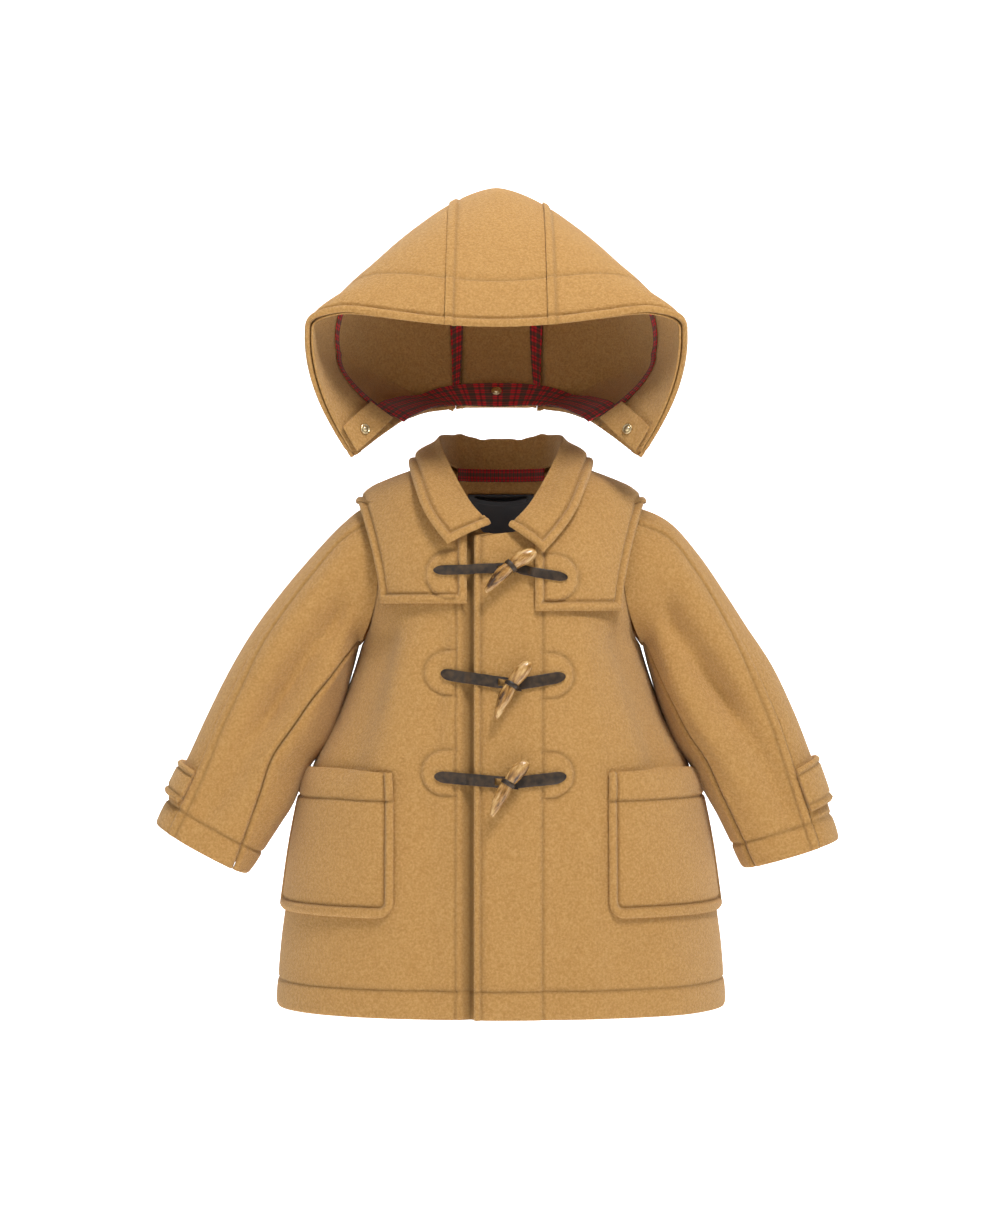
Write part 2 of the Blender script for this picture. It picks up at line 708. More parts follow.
def sleeve_fold(ring, degrees):
    height = 0
    for start, stop, angle1, angle2, spread, depth in SLEEVE_FOLDS:
        ends = smooth(ring, start - 0.8, start + 0.6) * (1 - smooth(ring, stop - 0.6, stop + 0.8))
        if ends:
            share = min(max((ring - start) / (stop - start), 0), 1)
            height += depth * ends * exp(-(((degrees - lerp(angle1, angle2, share)) / spread) ** 2))
    return height


def rounded(value):
    return (1 if value > 0 else -1) * abs(value) ** (2 / 2.2)


def armhole_point(sign, degrees, grow):
    """A point just outside the armhole's edge, which is grown by some mm."""
    forward = rounded(sin(radians(degrees)))
    y = -(ARMHOLE.half_depth + grow) * forward
    z = ARMHOLE.centre_z + (ARMHOLE.half_height + grow) * rounded(cos(radians(degrees)))
    depth = body.front(z) if forward >= 0 else body.back(z)
    square = body.square(z)
    share = min(max(1 - (abs(y) / depth) ** square, 0), 1)
    return Vector((sign * (body.half_width(z) * share ** (1 / square) + 2 * GAP), y, z))


@lru_cache(maxsize=None)
def ring_point(sign, ring, degrees):
    if ring <= 0:
        point = armhole_point(sign, degrees, 1.5)
        point.x += sign * 22 * ring
        return point
    rings = SLEEVE_RINGS[sign]
    across = rounded(cos(radians(degrees)))
    forward = rounded(sin(radians(degrees)))
    outer = Vector((rings.outer_x(ring), 0, rings.outer_z(ring)))
    inner = Vector((rings.inner_x(ring), 0, rings.inner_z(ring)))
    bulge = 1 + sleeve_fold(ring, degrees % 360) / 45
    point = (outer + inner) / 2 + (outer - inner) / 2 * across * bulge
    depth = rings.front(ring) if forward >= 0 else rings.back(ring)
    return Vector((sign * point.x, rings.y(ring) - depth * forward * bulge, point.z))


def sleeve_point(sign, ring, degrees):
    i = min(max(int(ring), 0), CUFF - 1)
    t = ring - i
    a, b, c, d = (ring_point(sign, min(k, CUFF), degrees) for k in (i - 1, i, i + 1, i + 2))
    return (
        a * (-0.5 * t**3 + t**2 - 0.5 * t)
        + b * (1.5 * t**3 - 2.5 * t**2 + 1)
        + c * (-1.5 * t**3 + 2 * t**2 + 0.5 * t)
        + d * (0.5 * t**3 - 0.5 * t**2)
    )


def sleeve_middle(sign, ring):
    return (sleeve_point(sign, ring, 0) + sleeve_point(sign, ring, 180)) / 2


# Where the two seams run, in degrees round the sleeve from its outer side to the front.
OUTER_SEAM = {
    -1: curves("degrees", [(0, 32), (3, 38), (6, 44), (9, 50)]),
    1: curves("degrees", [(0, 32), (3, 38), (5, 49), (7, 55), (9, 60)]),
}
INNER_SEAM = {
    -1: curves("degrees", [(0, 162), (1.5, 146), (3, 127), (5, 114), (7, 115), (9, 136)]),
    1: curves("degrees", [(0, 162), (2, 150), (4, 142), (9, 141)]),
}


CUFF_STITCH = 22
SEAM_BAND = 8
sleeve_rings = [
    *lines((0, 0.3, 0.06), (0.4, 8.12, 0.125), (8.2, 8.42, 0.03), (8.5, 8.8, 0.1)),
    8.87, 8.92, 8.96, 8.985, CUFF,
]


# How much fuller the side of a sleeve that lies by the body is at each ring.
FULL_INSIDE = curves("height", [
    (0, 0), (2.2, 0.2), (3.2, 1.8), (4.4, 2.5), (5.5, 3.6), (6.2, 3.8), (7.0, 1.2), (7.5, 0), (10, 0),
])


def sleeve_place(sign, start, stop, outer_away, inner_away, cuff_away):
    gap = SEAM / 0.4

    def place(u, ring):
        point = sleeve_point(sign, ring, lerp(start(ring) + gap, stop(ring) - gap, u))
        from_cuff = cuff_away(point)
        reliefs = [topstitch(from_cuff, CUFF_STITCH, plump=0.6, deep=0), stitch_row(from_cuff - CUFF_STITCH)]
        inner = inner_away(point)
        reliefs += [(0.9 * exp(-(((inner - 4) / 3.5) ** 2)), 0), stitch_row(inner, deep=1.2, width=1.6)]
        if outer_away:
            away = outer_away(point)
            band = 1.2 * (1 - smooth(away, SEAM_BAND - 1, SEAM_BAND + 3))
            reliefs += [(band, 0), stitch_row(away - SEAM_BAND), stitch_row(away, deep=0.8, width=1.0)]
        height, mark = together(*reliefs)
        degrees = lerp(start(ring), stop(ring), u)
        height += max(FULL_INSIDE.height(ring), 0) * exp(-(((degrees - 178) / 32) ** 2))
        return point, height, mark

    return place


for side, sign in (("right", -1), ("left", 1)):
    outer_seam, inner_seam = OUTER_SEAM[sign].degrees, INNER_SEAM[sign].degrees
    outer_away, inner_away = (
        edge_distance([sleeve_point(sign, ring, seam(ring)) for ring in steps(0, CUFF, 120)])
        for seam in (outer_seam, inner_seam)
    )
    cuff_away = edge_distance([sleeve_point(sign, CUFF, degrees) for degrees in steps(0, 360, 120)])
    front_mm = lines((0, 1.2, 0.6), (2.4, 4.8, 1.2), (5.6, 14, 0.8), (17, 74, 3.2), (75, 84, 1))
    front_lines = [mm / 84 for mm in front_mm]
    piece = laid(
        f"sleeve_front_{side}_cloth",
        [(
            front_lines, sleeve_rings,
            sleeve_place(sign, outer_seam, inner_seam, outer_away, inner_away, cuff_away),
        )],
        WOOL_THICK,
        sleeve_middle(sign, 4.5),
    )
    mount(piece, f"sleeve_front_{side}", wool)
    piece = laid(
        f"sleeve_back_{side}_cloth",
        [
            (
                [*lines((0, 0.05, 0.006)), *lines((0.06, 1, 0.019))],
                sleeve_rings,
                sleeve_place(
                    sign, inner_seam, lambda ring: outer_seam(ring) + 360, None, inner_away, cuff_away
                ),
            )
        ],
        WOOL_THICK,
        sleeve_middle(sign, 4.5),
    )
    mount(piece, f"sleeve_back_{side}", wool)

# Cuff straps
# A short strap of doubled cloth round the outside of each cuff, caught in the outer seam and buttoned
# behind. It is topstitched all round. The button is horn, with a rim and four holes.
STRAP = SimpleNamespace(start={-1: 48, 1: 57}, stop=-118, near=7.25, far=8.2, thick=4.4, point=16)


def on_sleeve(sign, ring, degrees, lift):
    at = min(max(ring, 0.03), CUFF - 0.03)
    normal = normal_at(lambda u, v: sleeve_point(sign, u, v), at, degrees, 0.02, 1, sleeve_middle(sign, ring))
    return sleeve_point(sign, ring, degrees) + normal * lift, normal


def strap_middle(sign, lane, degrees):
    tip = min(max((degrees - STRAP.stop) / STRAP.point, 0), 1)
    narrow = lerp(0.45, 1, sqrt(tip))
    ring = lerp(STRAP.near, STRAP.far, 0.5 + (lane - 0.5) * narrow)
    return on_sleeve(sign, ring, degrees, STRAP.thick + GAP + 0.3)[0]


strap_lanes = [0, 0.02, 0.05, 0.1, 0.14, 0.17, 0.2, 0.23, 0.27, 0.35, 0.5]
strap_lanes += [1 - lane for lane in reversed(strap_lanes[:-1])]
for side, sign in (("right", -1), ("left", 1)):
    strap_start = STRAP.start[sign]
    strap_away = edge_distance(
        *[
            [strap_middle(sign, lane, degrees) for degrees in steps(strap_start, STRAP.stop, 120)]
            for lane in (0, 1)
        ],
        [strap_middle(sign, lane, STRAP.stop) for lane in steps(0, 1, 10)],
    )

    def strap_place(lane, degrees):
        point = strap_middle(sign, lane, degrees)
        height, mark = topstitch(strap_away(point), 5.5, plump=1.0, deep=1.2)
        return point, height, mark

    strap_around = [
        *lines((strap_start, strap_start - 12, 1.5), (strap_start - 15, STRAP.stop + 20, 3.5)),
        *lines((STRAP.stop + 17, STRAP.stop + 2, 1.5)), STRAP.stop + 0.8, STRAP.stop,
    ]
    piece = laid(
        f"cuff_strap_{side}_cloth",
        [(strap_lanes, strap_around, strap_place)], STRAP.thick, sleeve_middle(sign, 7.7),
    )
    mount(piece, f"cuff_strap_{side}", wool)

# Collar
# A stand round the neck that rolls over into a broad fall with two points, in one layer of the thick cloth.
# The outer edge and both ends are turned and topstitched. The left point lies a little lower and nearer the
# middle. Each row below, from the middle of the back to the front end, is the neck seam, the top of the roll
# and the fall's edge.
COLLAR = [
    ((0, 44, 5), (0, 50, 34), (0, 71, -6)),
    ((17, 42.5, 5.5), (20, 48, 35), (24, 69, -4)),
    ((32, 36, 7), (38, 41, 36.5), (46, 61, -1)),
    ((44, 20, 11), (49, 23, 36), (67, 38, 6)),
    ((48.5, 0, 14), (52, -1, 32), (78, 4, 10)),
    ((48, -22, 8.5), (49, -22, 21), (77, -32, 3.4)),
    ((45.5, -41, -2), (42, -44, 5.5), (71.5, -64, -12.2)),
    ((41, -58, -16.5), (33, -61, -12), (64.5, -80.5, -30.5)),
    ((31, -71, -32), (23, -77, -28), (55, -90, -46)),
    ((14, -80, -46), (9, -87, -43), (44, -97, -60)),
]
LEFT_POINT_SLIP = Vector((-9, -1.5, -7))
ROLL_RADIUS = 5.2


def through(points, t):
    """A point on the smooth curve through some points: 0 at the first and 1 at the last."""
    spans = len(points) - 1
    i = min(int(t * spans), spans - 1)
    x = t * spans - i
    b, c = points[i], points[i + 1]
    a = points[i - 1] if i else 2 * b - c
    d = points[i + 2] if i + 2 <= spans else 2 * c - b
    before, here, after = (sqrt((q - p).length) for p, q in ((a, b), (b, c), (c, d)))
    here = here or 1
    before, after = before or here, after or here
    leave = ((b - a) / before - (c - a) / (before + here) + (c - b) / here) * here
    arrive = ((c - b) / here - (d - b) / (here + after) + (d - c) / after) * here
    return b + leave * x + (3 * (c - b) - 2 * leave - arrive) * x**2 + (2 * (b - c) + leave + arrive) * x**3


def collar_station(row, sign, towards_front):
    slip = towards_front**2 if sign > 0 else 0

    def corner(point, share):
        x, y, z = point
        return Vector((
            sign * (x + LEFT_POINT_SLIP.x * slip * share),
            y + LEFT_POINT_SLIP.y * slip,
            z + LEFT_POINT_SLIP.z * slip * share,
        ))

    seam, roll, edge = (corner(point, share) for point, share in zip(row, (0, 0.3, 1)))
    out = edge - seam
    out = Vector((out.x, out.y, 0)).normalized()
    flat = towards_front**2
    radius = ROLL_RADIUS * lerp(1, 0.35, flat)
    stand = seam.lerp(roll, 0.55) - out * 1.5
    over = roll + out * radius + Vector((0, 0, -radius * lerp(0.8, 0.5, flat)))
    fall = over.lerp(edge, 0.5) + out * 2.5 + Vector((0, 0, lerp(3, -0.6, flat)))
    return [seam, stand, roll, over, fall, edge]


collar_rows = []
for sign in (-1, 1):
    half = [collar_station(row, sign, min(max((i - 4) / 5, 0), 1)) for i, row in enumerate(COLLAR)]
    collar_rows += half[::-1] if sign < 0 else half[1:]


@lru_cache(maxsize=None)
def collar_lane(down):
    return [through(station, down) for station in collar_rows]


def collar_point(round_neck, down):
    return through(collar_lane(down), round_neck)


collar_away = edge_distance(
    [collar_point(t, 1) for t in steps(0, 1, 240)],
    [collar_point(0, t) for t in steps(0.45, 1, 40)],
    [collar_point(1, t) for t in steps(0.45, 1, 40)],
)


def collar_place(round_neck, down):
    point = collar_point(round_neck, down)
    height, mark = topstitch(collar_away(point), 8, plump=1.6, deep=1.8)
    stand = smooth(down, 0.04, 0.16) * (1 - smooth(down, 0.5, 0.62))
    height += 1.8 * stand * sum(
        deep * exp(-(((round_neck - at) / 0.014) ** 2))
        for at, deep in ((0.4, 1), (0.455, -1), (0.545, -1), (0.6, 1))
    )
    return point, height, mark


collar_end = [x / 400 for x in lines((0, 14, 1.2), (17, 200, 4))]
collar_round = [*collar_end[:-1], *[1 - t for t in reversed(collar_end)]]
collar_down = [*lines((0, 0.62, 0.028)), *[1 - x / 118 for x in lines((41, 15, 3), (13.4, 0, 1.1))]]
piece = laid("collar_cloth", [(collar_round, collar_down, collar_place)], WOOL_THICK, bevel=0.9)
mount(piece, "collar", wool)

# Inside the neck
# A checked cotton tape covers the collar seam, a woven navy label is stitched to the back below it, left
# bare here, and a narrow loop of the same navy tape is there to hang the coat by.
check_cotton = bpy.data.materials.new("tartan check cotton, yarn-dyed plain weave")
check_cotton.use_nodes = True
finish = check_cotton.node_tree.nodes["Principled BSDF"]
cut = put(check_cotton, "ShaderNodeUVMap", uv_map="UVMap")
axes = put(check_cotton, "ShaderNodeSeparateXYZ", {"Vector": cut.outputs["UV"]})
CHECK_REPEAT = 0.0072


def stripe(along, centre, half):
    """1 where a yarn colour lies in each repeat of the check, with soft edges of a yarn's width."""
    turns = put(check_cotton, "ShaderNodeMath", {0: along, 1: CHECK_REPEAT}, operation="DIVIDE")
    place = put(check_cotton, "ShaderNodeMath", {0: turns.outputs[0]}, operation="FRACT")
    apart = put(check_cotton, "ShaderNodeMath", {0: place.outputs[0], 1: centre}, operation="SUBTRACT")
    away = put(check_cotton, "ShaderNodeMath", {0: apart.outputs[0]}, operation="ABSOLUTE")
    edge = {0: away.outputs[0], 1: half + 0.025, 2: half - 0.025}
    return put(check_cotton, "ShaderNodeMapRange", edge).outputs[0]


def tint(base, colour_hex, factor, strength):
    share = put(check_cotton, "ShaderNodeMath", {0: factor, 1: strength}, operation="MULTIPLY")
    mix = put(check_cotton, "ShaderNodeMix", data_type="RGBA")
    check_cotton.node_tree.links.new(share.outputs[0], mix.inputs[0])
    if isinstance(base, bpy.types.NodeSocket):
        check_cotton.node_tree.links.new(base, mix.inputs[6])
    else:
        mix.inputs[6].default_value = linear(base)
    mix.inputs[7].default_value = linear(colour_hex)
    return mix.outputs[2]


yarns = "#D41D28"
for axis in ("X", "Y"):
    yarns = tint(yarns, "#17382A", stripe(axes.outputs[axis], 0.3, 0.22), 0.7)
for axis in ("X", "Y"):
    yarns = tint(yarns, "#101316", stripe(axes.outputs[axis], 0.78, 0.06), 0.6)
check_cotton.node_tree.links.new(yarns, finish.inputs["Base Color"])
weave = [
    put(
        check_cotton, "ShaderNodeTexWave", {"Vector": cut.outputs["UV"], "Scale": 520.0}, bands_direction=axis
    )
    for axis in ("X", "Y")
]
warp, weft = (yarn.outputs["Fac"] for yarn in weave)
threads = put(check_cotton, "ShaderNodeMath", {0: warp, 1: weft}, operation="ADD")
raised = {"Height": threads.outputs[0], "Strength": 0.25, "Distance": 0.0002}
bump = put(check_cotton, "ShaderNodeBump", raised)
check_cotton.node_tree.links.new(bump.outputs["Normal"], finish.inputs["Normal"])
finish.inputs["Roughness"].default_value = 0.85
finish.inputs["Sheen Weight"].default_value = 0.1

navy = bpy.data.materials.new("navy satin-weave label tape")
navy.use_nodes = True
finish = navy.node_tree.nodes["Principled BSDF"]
cut = put(navy, "ShaderNodeUVMap", uv_map="UVMap")
ribbing = {"Vector": cut.outputs["UV"], "Scale": 640.0, "Distortion": 0.4}
ribs = put(navy, "ShaderNodeTexWave", ribbing, bands_direction="Y")
ramp = put(navy, "ShaderNodeValToRGB", {"Fac": ribs.outputs["Fac"]})
ramp.color_ramp.elements[0].color = linear("#171B24")
ramp.color_ramp.elements[1].color = linear("#262C38")
navy.node_tree.links.new(ramp.outputs["Color"], finish.inputs["Base Color"])
bump = put(navy, "ShaderNodeBump", {"Height": ribs.outputs["Fac"], "Strength": 0.3, "Distance": 0.00015})
navy.node_tree.links.new(bump.outputs["Normal"], finish.inputs["Normal"])
finish.inputs["Roughness"].default_value = 0.55
finish.inputs["Sheen Weight"].default_value = 0.15

COTTON_THICK = 0.8
TAPE = SimpleNamespace(top=7, bottom=-4, reach=2.8, length=98)


def neck_tape_place(u, z):
    at = abs(u) / TAPE.length * TAPE.reach
    i = min(int(at), len(COLLAR) - 2)
    seam = Vector(COLLAR[i][0]).lerp(Vector(COLLAR[i + 1][0]), at - i)
    out = Vector((seam.x, seam.y, 0)).normalized()
    point = Vector((seam.x, seam.y, z)) - out * (0.8 + 1.5 * at)
    return Vector((point.x if u > 0 else -point.x, point.y, z)), 0, 0


piece = laid(
    "neck_tape_cotton",
    [(lines((-TAPE.length, TAPE.length, 4)), lines((TAPE.bottom, TAPE.top, 1.8)), neck_tape_place)],
    COTTON_THICK, (0, 0, 0), bevel=0.2,
)
mount(piece, "neck_tape", check_cotton)

LABEL = SimpleNamespace(half_width=29, top=-12, bottom=-47)


def inside_back(x, z, lift):
    return on_body(angle_of(x, z, "back"), z, -(WOOL_THICK + GAP + lift))[0]


def label_place(x, z):
    away = min(LABEL.half_width - abs(x), LABEL.top - z, z - LABEL.bottom)
    return inside_back(x, z, 0), 0, 0.5 * stitch_row(away - 2, width=0.4)[1]


piece = laid(
    "label_tape",
    [(lines((-29, 29, 1.5)), lines((LABEL.bottom, LABEL.top, 1.5)), label_place)],
    COTTON_THICK, (0, 0, -60), bevel=0.2,
)
mount(piece, "label", navy)

HANGER = SimpleNamespace(half_width=23, z=-16, half_height=2, sag=2.5)


def hanger_place(x, up):
    slack = 1 - (x / HANGER.half_width) ** 2
    return inside_back(x, HANGER.z + up - HANGER.sag * slack, COTTON_THICK + GAP + 1.2 * slack), 0, 0


piece = laid(
    "hanger_loop_tape",
    [(lines((-23, 23, 1.6)), lines((-2, 2, 1)), hanger_place)], 1.2, (0, 0, -60), bevel=0.3,
)
mount(piece, "hanger_loop", navy)

# Hood
# The hood is cut in two sides and a middle panel, joined by lapped seams that show as raised bands. It snaps
# on under the collar and is shown taken off, above it. The front edge is turned and topstitched, and a
# second row of stitches further back holds the inner facing.
HOOD_X = -4
HOOD_LAST = 8
hood = curves("y z half_width widest_z droop square end_x end_y end_z corner_y", [
    (0, -112, 131, 156, 108, 15, 5.0, 121, -58, 12, -96),
    (1, -88, 167, 152, 106, 5, 2.6, 103, -46, 26, -72),
    (2, -54, 207, 146, 104, 0, 1.88, 89, -34, 37, -46),
    (3, -8, 239, 139, 102, 0, 1.6, 79, -18, 45, -18),
    (4, 36, 247, 128, 98, 0, 1.6, 72, 0, 49, 12),
    (5, 76, 224, 112, 92, 0, 1.75, 65, 18, 53, 38),
    (6, 96, 172, 90, 82, 0, 1.9, 57, 32, 56, 56),
    (7, 88, 112, 62, 68, 0, 2.0, 47, 42, 58, 60),
    (8, 52, 61, 36, 60.5, 0, 2.0, 35, 48, 60, 52),
])


def hood_middle_half(at):
    return lerp(42, 35, at / HOOD_LAST)


def hood_point(at, along, sign=1):
    """A point of the hood: slice 0 is the front edge and 8 the neck behind; along it, 0 is the middle of the
    top, 1 the widest place and 2 the neck edge."""
    half_width, widest_z, corner_y = hood.half_width(at), hood.widest_z(at), hood.corner_y(at)
    if along <= 1:
        x = half_width * sin(along * pi / 2)
        square = hood.square(at)
        height = max(1 - (x / half_width) ** square, 0) ** (1 / square)
        droop = hood.droop(at) * max(0, 1 - (x / (0.8 * half_width)) ** 2) ** 1.2
        y = lerp(hood.y(at), corner_y, (x / half_width) ** 2.2)
        z = widest_z + (hood.z(at) - widest_z) * height - droop
    else:
        down = along - 1
        turn = down * down
        x = lerp(half_width, hood.end_x(at), turn)
        y = lerp(corner_y, hood.end_y(at), lerp(down, turn, 0.4))
        z = lerp(widest_z, hood.end_z(at), down)
    return Vector((HOOD_X + sign * x, y, z))


def hood_seam(at, beyond=0.0):
    share = min((hood_middle_half(at) + beyond) / hood.half_width(at), 0.9999)
    return asin(share) / (pi / 2)


HOOD_INSIDE = Vector((HOOD_X, -10, 90))


def on_hood(at, along, sign, lift):
    near = min(max(at, 0.02), HOOD_LAST - 0.12)
    surface = lambda u, v: hood_point(u, v, sign)
    normal = normal_at(surface, near, min(max(along, 0.01), 1.99), 0.02, 0.01, HOOD_INSIDE)
    return hood_point(at, along, sign) + normal * lift, normal


FACING = SimpleNamespace(top=0.87, side=2.9, neck=2.1, thick=1.6, tape=0.24)


def facing_slice(along):
    share = abs(along)
    if share < 1:
        return lerp(FACING.top, FACING.side, share**2)
    return lerp(FACING.side, FACING.neck, share - 1)


def hood_depth(q, along):
    """The slice at a grid line: 0 is the front edge, 1 the facing's inner edge and 2 the neck behind."""
    facing = facing_slice(along)
    return q * facing if q < 1 else lerp(facing, 7.98, q - 1)


front_edge = [hood_point(0, abs(a), 1 if a > 0 else -1) for a in steps(-2, 2, 300)]
tab_edges = [[hood_point(at, 2, sign) for at in steps(0, 7.9, 120)] for sign in (-1, 1)]
hood_front_away = edge_distance(front_edge)
hood_neck_away = edge_distance(*tab_edges)
facing_away = edge_distance([
    hood_point(facing_slice(a), abs(a), 1 if a > 0 else -1) for a in steps(-1.99, 1.99, 300)
])
hood_seam_away = edge_distance(*[
    [hood_point(at, hood_seam(at), sign) for at in steps(0, HOOD_LAST, 240)] for sign in (-1, 1)
])
HOOD_BAND = 7.5


def hood_relief(point, lapped):
    near_front = hood_front_away(point)
    reliefs = [
        topstitch(near_front, 8, plump=1.6, deep=1.6),
        stitch_row(facing_away(point)),
        stitch_row(hood_neck_away(point) - 7, deep=1.0),
    ]
    if lapped:
        seam = hood_seam_away(point)
        fade = smooth(near_front, 5, 9)
        reliefs.append((1.9 * fade * (1 - smooth(seam, HOOD_BAND - 1, HOOD_BAND + 2)), 0))
        reliefs.append(stitch_row(seam - HOOD_BAND, deep=1.4))
    return together(*reliefs)


def hood_side_place(sign):
    def place(q, v):
        at = hood_depth(q, v)
        along = v
        for _ in range(3):
            if v <= 1:
                along = lerp(hood_seam(at, 0.3), 1, v)
            at = hood_depth(q, along)
        point = hood_point(at, along, sign)
        height, mark = hood_relief(point, sign > 0)
        return point, height, mark

    return place


def hood_middle_place(u, q):
    at = hood_depth(q, 0) if q < 2 else HOOD_LAST
    for _ in range(3):
        along = abs(u) * hood_seam(at)
        at = hood_depth(q, along) if q < 2 else HOOD_LAST
    point = hood_point(at, along, 1 if u > 0 else -1)
    height, mark = hood_relief(point, u < 0)
    return point, height, mark


hood_depths = [
    *lines(
        (0, 0.15, 0.0125), (0.165, 0.3, 0.02), (0.36, 0.88, 0.065), (0.91, 1.006, 0.014), (1.02, 1.96, 0.016)
    ),
    1.975, 1.988, 2,
]
side_arch = [*lines((0, 0.11, 0.0085), (0.15, 1, 0.04), (1.04, 1.88, 0.045), (1.9, 2, 0.014))]
for side, sign in (("right", -1), ("left", 1)):
    piece = laid(
        f"hood_side_{side}_cloth", [(hood_depths, side_arch, hood_side_place(sign))], WOOL_THICK, HOOD_INSIDE
    )
    mount(piece, f"hood_side_{side}", wool)
piece = laid(
    "hood_middle_cloth",
    [(lines((-1, -0.7, 0.022), (-0.65, 1, 0.07)), hood_depths, hood_middle_place)], WOOL_THICK, HOOD_INSIDE,
)
mount(piece, "hood_middle", wool)

# Inside the hood
# A facing of the coat cloth follows the front edge, its inner edge covered by a checked tape. The two inner
# seams are taped with the same check, and a checked band stands up inside the neck edge from one end tab to
# the other.
FACING_LIFT = -(WOOL_THICK + 3 * GAP)
SEAM_TAPE_LIFT = -(WOOL_THICK + 2.5 * GAP)
TAPE_LIFT = FACING_LIFT - FACING.thick - 2 * GAP


def lining_place(start, stop, lift, to_mm):
    def place(u, t):
        along, sign = abs(u), 1 if u > 0 else -1
        at = lerp(start(u), stop(u), t / to_mm)
        return on_hood(at, along, sign, lift)[0], 0, 0

    return place


def scaled_uv(piece, across, along):
    """Puts a piece's cut in metres in its UV map: what one unit of each grid number is in mm."""
    for loop in piece.data.uv_layers[0].data:
        loop.uv = (loop.uv[0] * across, loop.uv[1] * along)


arch_lines = lines((-1.96, 1.96, 0.045))
piece = laid(
    "hood_facing_cloth",
    [(arch_lines, steps(0, 1, 10), lining_place(lambda a: 0.06, facing_slice, FACING_LIFT, 1))],
    FACING.thick, HOOD_INSIDE, bevel=0.4,
)
mount(piece, "hood_facing", wool)

piece = laid(
    "hood_facing_tape_cotton",
    [(
        arch_lines, steps(0, 1, 3),
        lining_place(lambda a: facing_slice(a) - 0.1, lambda a: facing_slice(a) + FACING.tape, TAPE_LIFT, 1),
    )],
    COTTON_THICK, HOOD_INSIDE, bevel=0.2,
)
scaled_uv(piece, 130, 11)
mount(piece, "hood_facing_tape", check_cotton)


def seam_tape_place(sign):
    def place(across, at):
        return on_hood(at, hood_seam(at) + across * 0.03 * (1 + at / 8), sign, SEAM_TAPE_LIFT)[0], 0, 0

    return place


for side, sign in (("right", -1), ("left", 1)):
    piece = laid(
        f"hood_seam_tape_{side}_cotton",
        [([-1, -0.5, 0, 0.5, 1], lines((FACING.top + FACING.tape + 0.1, 7.5, 0.12)), seam_tape_place(sign))],
        COTTON_THICK, HOOD_INSIDE, bevel=0.2,
    )
    scaled_uv(piece, 5, 46)
    mount(piece, f"hood_seam_tape_{side}", check_cotton)

BAND = SimpleNamespace(
    height=23, thick=1.2, start=2.5, side_end=6.4, lift=-(WOOL_THICK + 4 * GAP + COTTON_THICK)
)


def neck_edge(at, share, sign):
    """A point of the hood's neck edge, with the way up the cloth from it and the outward normal there."""
    on_side = min(at, BAND.side_end)
    side_normal = on_hood(on_side, 1.98, sign, 0)[1]
    side_up = (hood_point(on_side, 1.75, sign) - hood_point(on_side, 2, sign)).normalized()
    middle_normal = on_hood(7.85, 0, sign, 0)[1]
    middle_up = (hood_point(7.6, 0, sign) - hood_point(HOOD_LAST, 0, sign)).normalized()
    turn = smooth(at, BAND.side_end, HOOD_LAST) * 0.5 + share * 0.5
    if share > 0:
        edge = hood_point(HOOD_LAST, (1 - share) * hood_seam(HOOD_LAST), sign)
    else:
        edge = hood_point(at, 2, sign)
    up = side_up.lerp(middle_up, turn).normalized()
    return edge, up, side_normal.lerp(middle_normal, turn).normalized()


BAND_STATIONS = [*[(at, 0) for at in steps(BAND.start, 7.9, 9)], (HOOD_LAST, 0.5), (HOOD_LAST, 1)]


def band_station(sign):
    rows = []
    for at, share in BAND_STATIONS:
        edge, up, normal = neck_edge(at, share, sign)
        rows.append((edge + normal * BAND.lift, up))
    return rows


band_rows = [*band_station(1), *band_station(-1)[::-1][1:]]
band_feet = [foot for foot, _ in band_rows]
band_ups = [up for _, up in band_rows]
band_reach = sum((b - a).length for a, b in zip(band_feet, band_feet[1:]))


def band_place(u, height):
    t = u / band_reach
    return through(band_feet, t) + through(band_ups, t).normalized() * height, 0, 0


piece = laid(
    "hood_neck_band_cotton",
    [(lines((0, band_reach, 3.5)), lines((-4.2, BAND.height, 2.6)), band_place)],
    BAND.thick, HOOD_INSIDE, bevel=0.25,
)
mount(piece, "hood_neck_band", check_cotton)

for side, sign in (("right", -1), ("left", 1)):
    def tab_place(at, t):
        return on_hood(at, lerp(1.77, 1.97, t), sign, TAPE_LIFT - 2 * GAP - COTTON_THICK)[0], 0, 0

    piece = laid(
        f"hood_tab_{side}_cloth",
        [(lines((0.15, 2.15, 0.07)), steps(0, 1, 12), tab_place)], 1.8, HOOD_INSIDE, bevel=0.5,
    )
    mount(piece, f"hood_tab_{side}", wool)

# Toggles and their straps
# Three closures. Each has two short dark leather straps with pointed ends, sewn to the fronts: the one on
# the right front ends in a loop, and the one on the left front runs under it and is knotted round the waist
# of a horn toggle.
leather = bpy.data.materials.new("dark brown strap leather, waxed")
leather.use_nodes = True
finish = leather.node_tree.nodes["Principled BSDF"]
place = put(leather, "ShaderNodeTexCoord")
pores = put(leather, "ShaderNodeTexVoronoi", {"Vector": place.outputs["Object"], "Scale": 1300.0})
wear = put(leather, "ShaderNodeTexNoise", {"Vector": place.outputs["Object"], "Scale": 210.0, "Detail": 4.0})
ramp = put(leather, "ShaderNodeValToRGB", {"Fac": wear.outputs["Fac"]})
ramp.color_ramp.elements[0].position, ramp.color_ramp.elements[1].position = 0.35, 0.72
ramp.color_ramp.elements[0].color = linear("#21180F")
ramp.color_ramp.elements[1].color = linear("#47341F")
leather.node_tree.links.new(ramp.outputs["Color"], finish.inputs["Base Color"])
grained = {"Height": pores.outputs["Distance"], "Strength": 0.35, "Distance": 0.0003}
bump = put(leather, "ShaderNodeBump", grained)
leather.node_tree.links.new(bump.outputs["Normal"], finish.inputs["Normal"])
